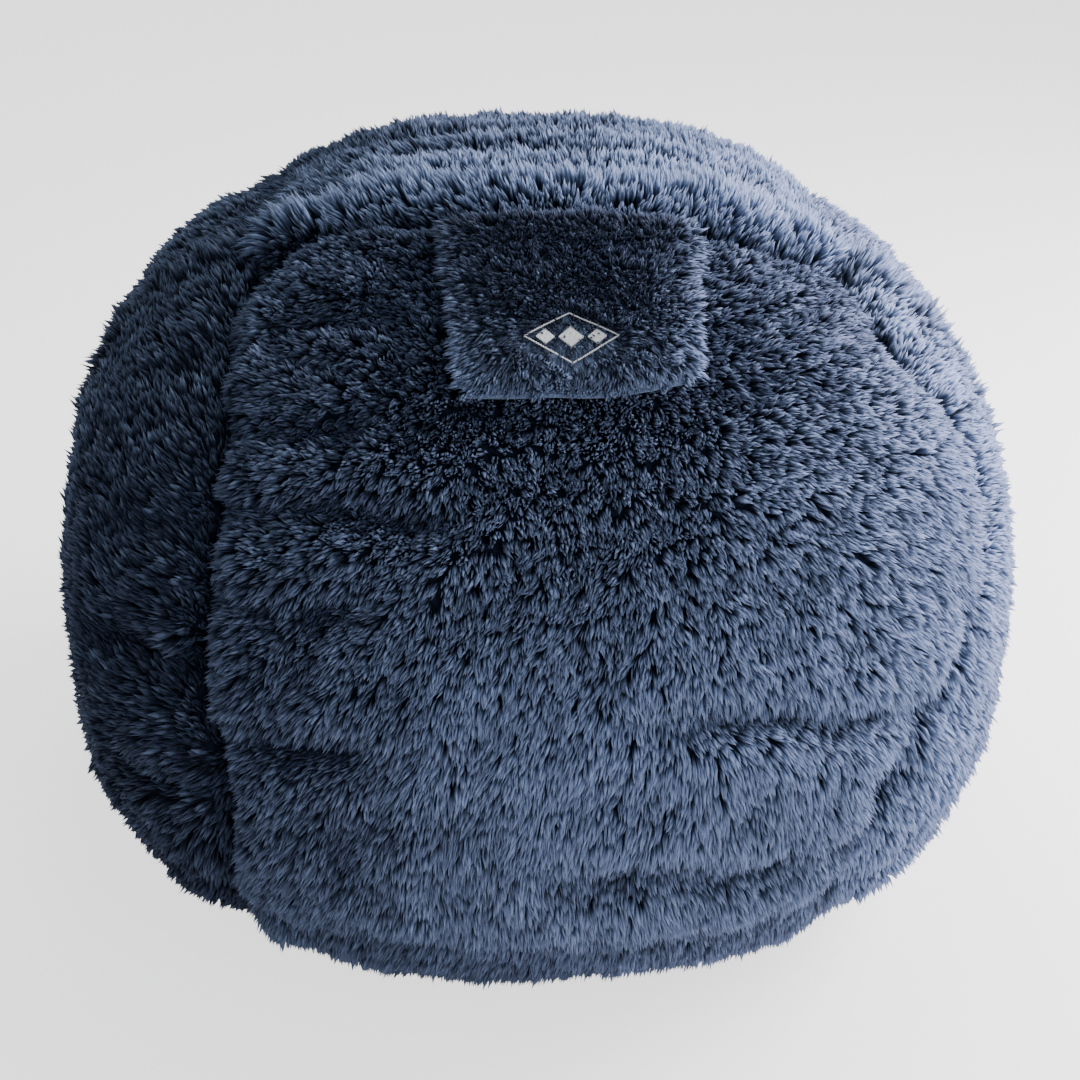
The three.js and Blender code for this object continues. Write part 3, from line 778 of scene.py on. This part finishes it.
points, normals = coordinates(cover_mesh), vectors_of(cover_mesh.vertex_normals, "vector")
nap, lean, light = combed(points, normals)
upright = (nap * normals).sum(1)
turn = place_of(points)[1]
bare = np.zeros(len(points))
for seam in (LEFT_SEAM, RIGHT_SEAM):
    pull = np.interp(turn, seam[:, 0], seam[:, 2]) / seam[:, 2].max()
    bare = np.maximum(bare, pull * (1 - smoothstep(abs(beside(seam, points)), SEAM_BARE, 2.5 * SEAM_BARE)))
sunk = depth_in_folds(cover_mesh)
# Painted shade in the folds, and painted light on their lips.
light = light - CREASE["painted_shade"] * np.clip(sunk, CREASE["lip"], CREASE["depth"])
lighter, longer = (much * waves(points, PATCHES["size"], seed)[:, 0]
                   for much, seed in (PATCHES["tone"], PATCHES["depth"]))
light += lighter
reach = np.clip(PILE_DEPTH / np.maximum(upright, 0.3), REACH_LEAST, REACH_MOST)
reach *= BASE_REACH + (1 - BASE_REACH) * smoothstep(points[:, 2], 0, 1.5 * BASE_FADE)
reach *= 1 - CREASE["shorter"] * np.clip(sunk, 0, CREASE["depth"])
reach *= 1 + longer
on_ridge = np.exp(-(((turn - RIDGE["turn"]) / RIDGE["spread"]) ** 2)) * (turn > TOP_FOLD_TURN)
reach *= 1 + RIDGE["longer"] * on_ridge
shaded = np.exp(-(((TOP_FOLD_TURN - turn) / RIDGE_SHADOW["reach"]) ** 2)) * (turn < TOP_FOLD_TURN)
shaded *= (comb_group(panel_of(points)) == "front")
light -= RIDGE_SHADOW["painted_shade"] * shaded
reach *= 1 - RIDGE_SHADOW["shorter"] * shaded
thick = 1 - SEAM_THINNER * bare
thick *= 1 - under_flap(points)
store(cover_mesh, nap=nap, lean=lean, light=light, reach=reach, thick=thick)
store_panel(cover_mesh, panel_of(vectors_of(cover_mesh.polygons, "center")))
for name, (spacing, disorder) in PILES.items():
    pile_piece(f"{name}_pile", cover, planting, "plush", Panel=PANELS[name], Spacing=spacing,
               Seed=PANELS[name] + 7, Tufts=tufts, Thickness=THICKENING[0] + spacing / THICKENING[1],
               Disorder=disorder, Finish=cover_pile_finish)
unsteered(cover_mesh)


# The flap. It is one square of the same plush, sewn into the front under the top fold. Its sides are raw
# and furred, its lower edge is turned under once and topstitched, and it hangs a little off the bag there.
FLAP_CLOTH = {
    "above": 0.006, "thick": 0.0022, "sewn_in": 0.012, "hem_lift": 0.007, "columns": 44, "rows": 40,
}
HEM = {"radius": 0.0032, "turned_under": 0.018, "steps": 6, "return_rows": 4}
FLAP_SMOOTHING = 6
FLAP_RIPPLE = {"height": 0.0022, "length": 0.11, "seed": 5}
FLAP_SPOTS = {
    "Scale": 420, "Detail": 5, "Dark At": 0.3, "Light At": 0.72,
    "Dark": (0.045, 0.070, 0.13, 1), "Light": (0.17, 0.24, 0.40, 1),
}


def flap_lift(down):
    return FLAP_CLOTH["above"] + FLAP_CLOTH["hem_lift"] * np.clip(down, 0, 1) ** 3


def flap_angles(across, down):
    """Swing and turn of a place on the flap: across from -1 to 1, down from 0 to 1 at the hem."""
    rise = FLAP["hem_rise"] * down * max(0, across) ** 2
    width = FLAP["width"] + (FLAP["hem_width"] - FLAP["width"]) * down
    sideways = across * width / 2 + FLAP["lean"] * down
    swing = FLAP["swing"] + math.degrees(sideways / flap_reach)
    return swing, FLAP["top_turn"] - math.degrees((down * FLAP["length"] - rise) / flap_reach)


across_steps = np.linspace(-1, 1, FLAP_CLOTH["columns"] + 1)
down_steps = np.linspace(-0.05, 1.08, FLAP_CLOTH["rows"] + 1)
ground = np.array([[cad_reach(*flap_angles(a, d)) for a in across_steps] for d in down_steps])
for _ in range(FLAP_SMOOTHING):
    padded_ground = np.pad(ground, 1, mode="edge")
    ground = (padded_ground[:-2, 1:-1] + padded_ground[2:, 1:-1] + padded_ground[1:-1, :-2]
              + padded_ground[1:-1, 2:]) / 4


def flap_place(across, down, above):
    """A point at a height over the cover, which the flap bridges where it is lumpy."""
    column = np.interp(across, across_steps, np.arange(len(across_steps)))
    row = np.interp(down, down_steps, np.arange(len(down_steps)))
    i, j = min(int(row), len(down_steps) - 2), min(int(column), len(across_steps) - 2)
    v, u = row - i, column - j
    reach = ((ground[i, j] * (1 - u) + ground[i, j + 1] * u) * (1 - v)
             + (ground[i + 1, j] * (1 - u) + ground[i + 1, j + 1] * u) * v)
    return HEART + direction(*flap_angles(across, down)) * (reach + above)


def flap_profile():
    """The flap from its sewn edge to the turned-under end of its hem, as places down and above the cover."""
    rows = []
    for down in np.linspace(0, 1, FLAP_CLOTH["rows"] + 1):
        rows.append((down, flap_lift(down) - FLAP_CLOTH["sewn_in"] * (1 - smoothstep(down, 0, 0.07))))
    middle = flap_lift(1) - HEM["radius"]
    for step in range(1, HEM["steps"]):
        turned = math.pi * (0.5 - step / HEM["steps"])
        down = 1 + HEM["radius"] * math.cos(turned) / FLAP["length"]
        rows.append((down, middle + HEM["radius"] * math.sin(turned)))
    for step in range(HEM["return_rows"] + 1):
        down = 1 - HEM["turned_under"] * step / HEM["return_rows"] / FLAP["length"]
        rows.append((down, middle - HEM["radius"]))
    return rows


def grid_faces(rows, columns):
    """Faces of a grid of points, whose rows run down and whose columns run to the right."""
    faces = []
    for i in range(rows - 1):
        for j in range(columns - 1):
            a = i * columns + j
            faces.append((a, a + columns, a + columns + 1, a + 1))
    return faces


profile = flap_profile()
flap_points = np.array([flap_place(a, d, up) for d, up in profile for a in across_steps])
flap_spots = np.array([(a, d) for d, up in profile for a in across_steps])
ripple = waves(flap_points, FLAP_RIPPLE["length"], FLAP_RIPPLE["seed"])[:, :1]
flap_points += outward(flap_points) * FLAP_RIPPLE["height"] * ripple
flap_mesh = bpy.data.meshes.new("flap_cloth")
flap_mesh.from_pydata(flap_points, [], grid_faces(len(profile), len(across_steps)))
flap_mesh.shade_smooth()
flap_base = linked("flap_cloth_base", flap_mesh)
flap_cloth = linked("flap_cloth", flap_mesh.copy())
walls = flap_cloth.modifiers.new("Solidify", "SOLIDIFY")
walls.thickness = FLAP_CLOTH["thick"]
walls.offset = 0
solid_mesh = settled(flap_cloth)
solid_mesh.shade_smooth()
solid_mesh.materials.append(mottled_finish("flap cloth", FLAP_SPOTS, 0.0015,
                                           Roughness=0.9, Sheen_Weight=0.3))
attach(flap_cloth, "root")
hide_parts("front_flap")


# The pile of the flap. It is the same long fibre. It points at the viewer in the middle, out over the
# two sides and down above the hem, where it is short and pressed flat. Round the mark it is parted by
# the needle.
FLAP_REACH = 0.028
FLAP_SPACING = 0.0050
HEM_BAND = 0.955  # below this share of its length the flap is hem
HEM_BARE = 0.987  # and from here on its cloth has no pile
MARK = {"across": -0.04, "down": 0.720, "half_width": 0.062, "half_height": 0.037, "above": 0.0070}
# The flap's pile is a darker copy of the cover's, for the painted shade it lies in under the top fold.
FLAP_SHADED_COLOURS = {**COVER_SHADES, "Dark Dye": (0.002, 0.005, 0.016), "Dark Tip": (0.011, 0.022, 0.058)}
FLAP_LIGHT_AND_SHADE = {"top": -0.16, "middle": 0.00, "hem": 0.56, "sides": 0.50}
# How far the pile leans out at the sides, to the left and down, how strongly it parts round the mark and
# over what share of it, how much of the cover's swirls it has, and how far it leans at most.
FLAP_NAP = {"out": 0.85, "left": 0.12, "down": 0.2, "at_hem": 0.75, "parted": 0.8, "spread": 0.35,
            "swirls": 0.6, "most": 0.88}
FLAP_PRESSED = {"in_mark": 0.72, "at_hem": 0.6}  # how much shorter the pile is there


def from_mark(across, down):
    """How far a place lies from the middle of the mark, sideways and down, in metres."""
    return (across - MARK["across"]) * FLAP["width"] / 2, (down - MARK["down"]) * FLAP["length"]


def mark_distance(across, down):
    """1 on the outline of the mark, less inside it, more outside it."""
    x, y = from_mark(across, down)
    return abs(x) / MARK["half_width"] + abs(y) / MARK["half_height"]


across, down = flap_spots.T
points, normals = coordinates(flap_mesh), vectors_of(flap_mesh.vertex_normals, "vector")
right = np.gradient(flap_points.reshape(len(profile), len(across_steps), 3), axis=1).reshape(-1, 3)
right /= lengths(right)
below = np.cross(normals, right)
below *= np.sign(-below[:, 2:])
x, y = from_mark(across, down)
near_mark = np.exp(-((np.maximum(mark_distance(across, down) - 1, 0) / FLAP_NAP["spread"]) ** 2))
sideways = FLAP_NAP["out"] * np.sign(across) * abs(across) ** 4 - FLAP_NAP["left"]
downward = FLAP_NAP["down"] + FLAP_NAP["at_hem"] * np.clip(down, 0, 1) ** 3
lean = sideways[:, None] * right + downward[:, None] * below
parted = np.stack([x, y], 1) / np.maximum(np.hypot(x, y), 0.004)[:, None]
lean += (near_mark * FLAP_NAP["parted"])[:, None] * (parted[:, :1] * right + parted[:, 1:] * below)
for length, strength, seed in SWIRLS:
    lean = lean + FLAP_NAP["swirls"] * strength * waves(points, length * FLAP_NAP["swirls"], seed + 1)
lean -= (lean * normals).sum(1, keepdims=True) * normals
lean *= np.minimum(1, FLAP_NAP["most"] / np.maximum(lengths(lean), 1e-6))
nap = normals * np.sqrt(1 - (lean ** 2).sum(1, keepdims=True)) + lean
inside_mark = smoothstep(1.25 - mark_distance(across, down), 0, 0.3)
reach = FLAP_REACH * (1 - FLAP_PRESSED["in_mark"] * inside_mark)
reach *= 1 - FLAP_PRESSED["at_hem"] * smoothstep(down, HEM_BAND - 0.05, HEM_BARE)
# Painted shade on the top of the flap, under the top fold, and painted light towards the hem and out at its
# sides.
light = np.interp(down, (0, 0.55, 1), (FLAP_LIGHT_AND_SHADE["top"], FLAP_LIGHT_AND_SHADE["middle"], FLAP_LIGHT_AND_SHADE["hem"]))
light += FLAP_LIGHT_AND_SHADE["sides"] * abs(across) ** 8
thick = (down < HEM_BARE).astype(float)
rows_of_faces = np.repeat(np.arange(len(profile) - 1), len(across_steps) - 1)
store(flap_mesh, nap=nap, lean=lean, light=light, reach=reach, thick=thick)
store_panel(flap_mesh, rows_of_faces >= FLAP_CLOTH["rows"])
flap_pile_finish = pile_finish("flap long pile in painted shade", colours, FLAP_SHADED_COLOURS)
flap_pile = pile_piece("flap_pile", flap_base, planting, "flap_plush", Panel=0, Spacing=FLAP_SPACING,
                       Seed=31, Tufts=tufts, Thickness=0.85, Finish=flap_pile_finish)
bpy.data.objects.remove(flap_base)


# The sewing on the flap. A row of pale blue stitches holds the hem, and a plain mark in thick off-white
# thread is embroidered over the pile: a diamond outline with three small diamonds inside it.
STITCH = {"sides": 5, "shoulder": 0.33}
HEM_STITCH = {"down": 0.992, "length": 0.0034, "gap": 0.0012, "width": 0.0011, "above": 0.0012}
OUTLINE_STITCH = {"length": 0.0056, "pitch": 0.0036, "width": 0.0024, "slant": 12}
FILL_STITCH = {"pitch": 0.0017, "width": 0.0021}
SMALL_DIAMONDS = {"apart": 0.034, "half_width": 0.012, "half_height": 0.012, "middle": 1.35}
FLATTENED = 0.7  # how thick a stitch is for its width
THREAD_SPOTS = {"Scale": 900, "Detail": 3, "Dark At": 0.35, "Light At": 0.65}


def stitch_shape():
    """One stitch, as a short plump thread along x with its ends drawn to points."""
    verts, faces = [(-0.5, 0, 0)], []
    count = STITCH["sides"]
    for x in (-STITCH["shoulder"], STITCH["shoulder"]):
        for k in range(count):
            angle = 2 * math.pi * k / count
            verts.append((x, 0.5 * math.cos(angle), 0.5 * math.sin(angle)))
    verts.append((0.5, 0, 0))
    for k in range(count):
        a, b = 1 + k, 1 + (k + 1) % count
        faces += [(0, b, a), (a, b, b + count, a + count), (a + count, b + count, len(verts) - 1)]
    mesh = bpy.data.meshes.new("stitch")
    mesh.from_pydata(verts, [], faces)
    mesh.shade_smooth()
    return bpy.data.objects.new("stitch", mesh)


def sewing_tree():
    """Lays a stitch along each point's own direction, at its own length and width."""
    inputs = {name: (name, None) for name in ("Geometry", "Object", "Material")}
    tree, given = new_tree("row of stitches", "GeometryNodeTree", inputs, {"Geometry": "Geometry"})
    spots = wired(tree, "GeometryNodeMeshToPoints", Mesh=given["Geometry"])
    upward = wired(tree, "FunctionNodeAlignRotationToVector", {"axis": "Z"},
                   Vector=attribute(tree, "up", "FLOAT_VECTOR"))
    laid = wired(tree, "FunctionNodeAlignRotationToVector", {"axis": "X", "pivot_axis": "Z"},
                 Rotation=upward.outputs[0], Vector=attribute(tree, "along", "FLOAT_VECTOR"))
    thread = wired(tree, "GeometryNodeObjectInfo", Object=given["Object"])
    placed = wired(tree, "GeometryNodeInstanceOnPoints",
                   Points=spots.outputs[0], Instance=thread.outputs["Geometry"],
                   Rotation=laid.outputs[0], Scale=attribute(tree, "size", "FLOAT_VECTOR"))
    real = wired(tree, "GeometryNodeRealizeInstances", Geometry=placed.outputs[0])
    finished = wired(tree, "GeometryNodeSetMaterial", Geometry=real.outputs[0], Material=given["Material"])
    wired(tree, "NodeGroupOutput", Geometry=finished.outputs[0])
    return tree


def on_flap(x, y, above):
    """A point on the flap at a distance from the mark's middle, x to the right and y up, in metres."""
    across = MARK["across"] + x * 2 / FLAP["width"]
    return flap_place(across, MARK["down"] - y / FLAP["length"], flap_lift(MARK["down"]) + above)


def along_line(first, last, stitch):
    """Evenly spaced slanted stitches on a line between two places of the mark, as (x, y, dx, dy, width)."""
    first, last = np.array(first), np.array(last)
    run = last - first
    count = max(1, round(np.hypot(*run) / stitch["pitch"]))
    slant = math.radians(stitch["slant"])
    dx, dy = run / np.hypot(*run) * stitch["length"]
    turned = (dx * math.cos(slant) - dy * math.sin(slant), dx * math.sin(slant) + dy * math.cos(slant))
    return [(*(first + run * (k + 0.5) / count), *turned, stitch["width"]) for k in range(count)]


def across_diamond(middle, half_width, half_height):
    """Upright stitches side by side that fill a small diamond."""
    count = round(2 * half_width / FILL_STITCH["pitch"])
    rows = []
    for k in range(count):
        share = (k + 0.5) / count * 2 - 1
        length = 2 * half_height * (1 - abs(share)) + 0.002
        rows.append((middle + share * half_width, 0, 0, length, FILL_STITCH["width"]))
    return rows


def mark_stitches():
    w, h = MARK["half_width"], MARK["half_height"]
    corners = [(w, 0), (0, h), (-w, 0), (0, -h), (w, 0)]
    rows = []
    for first, last in zip(corners, corners[1:]):
        rows += along_line(first, last, OUTLINE_STITCH)
    for number in (-1, 0, 1):
        size = SMALL_DIAMONDS["middle"] if number == 0 else 1
        rows += across_diamond(number * SMALL_DIAMONDS["apart"], size * SMALL_DIAMONDS["half_width"],
                               size * SMALL_DIAMONDS["half_height"])
    return rows


def sewn(name, spots, ends, widths, finish):
    """A piece of stitches at spots, each reaching along its own end vector."""
    mesh = bpy.data.meshes.new(name)
    mesh.from_pydata(spots, [], [])
    sizes = np.column_stack([lengths(ends)[:, 0], widths, np.asarray(widths) * FLATTENED])
    store(mesh, along=ends, up=outward(spots), size=sizes)
    start = linked(name + "_spots", mesh)
    made = run_tree(start, sewing, Object=stitch, Material=finish)
    unsteered(made)
    bpy.data.objects.remove(start)
    piece = linked(name, made)
    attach(piece, "root")
    return piece


def thread_finish(name, dark, light):
    """Spun thread: its colour and its height change along fine plies."""
    spots = {**THREAD_SPOTS, "Dark": (*dark, 1), "Light": (*light, 1)}
    return mottled_finish(name, spots, 0.0003, Roughness=0.5)


stitch = stitch_shape()
sewing = sewing_tree()
rows = mark_stitches()
spots = np.array([on_flap(x, y, MARK["above"]) for x, y, *_ in rows])
ends = np.array([on_flap(x + dx, y + dy, MARK["above"]) for x, y, dx, dy, _ in rows]) - spots
mark_stitching = sewn("mark_stitching", spots, ends, [row[4] for row in rows],
                      thread_finish("off-white thread", (0.62, 0.63, 0.66), (0.88, 0.88, 0.88)))

step = HEM_STITCH["length"] + HEM_STITCH["gap"]
places = np.arange(-1 + step / FLAP["hem_width"], 1, 2 * step / FLAP["hem_width"])
height = flap_lift(HEM_STITCH["down"]) + HEM_STITCH["above"]
spots = np.array([flap_place(a, HEM_STITCH["down"], height) for a in places])
ends = np.gradient(spots, axis=0)
ends *= HEM_STITCH["length"] / lengths(ends)
hem_stitching = sewn("hem_stitching", spots, ends, [HEM_STITCH["width"]] * len(spots),
                     thread_finish("pale blue thread", (0.16, 0.22, 0.34), (0.32, 0.40, 0.56)))
